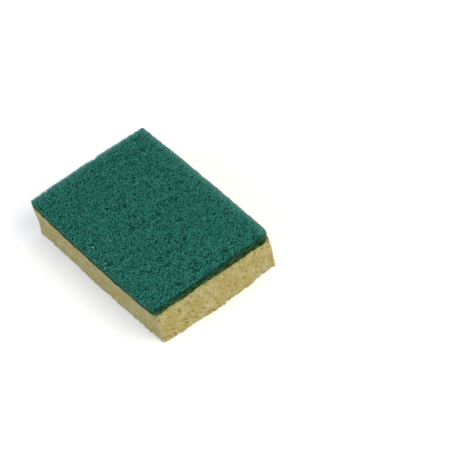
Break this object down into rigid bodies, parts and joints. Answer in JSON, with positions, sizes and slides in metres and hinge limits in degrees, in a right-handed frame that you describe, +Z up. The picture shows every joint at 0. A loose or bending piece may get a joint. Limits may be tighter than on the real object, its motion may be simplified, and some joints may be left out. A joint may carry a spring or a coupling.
{
  "type": "scouring pad",
  "caption": "Hand scouring pad: a block of yellow cellulose sponge with a green non-woven scouring web bonded over its top face.",
  "frame": {"origin": "middle of the sponge's flat underside", "axes": "+X along the pad's length, +Y across its width, +Z up through the sponge to the scouring face"},
  "size_m": [0.15, 0.1, 0.034],
  "materials": {
    "cellulose_sponge": "matte",
    "scouring_web": "matte"
  },
  "bodies": {
    "root": {"sponge_block": "cellulose_sponge", "scouring_web": "scouring_web"}
  },
  "joints": []
}
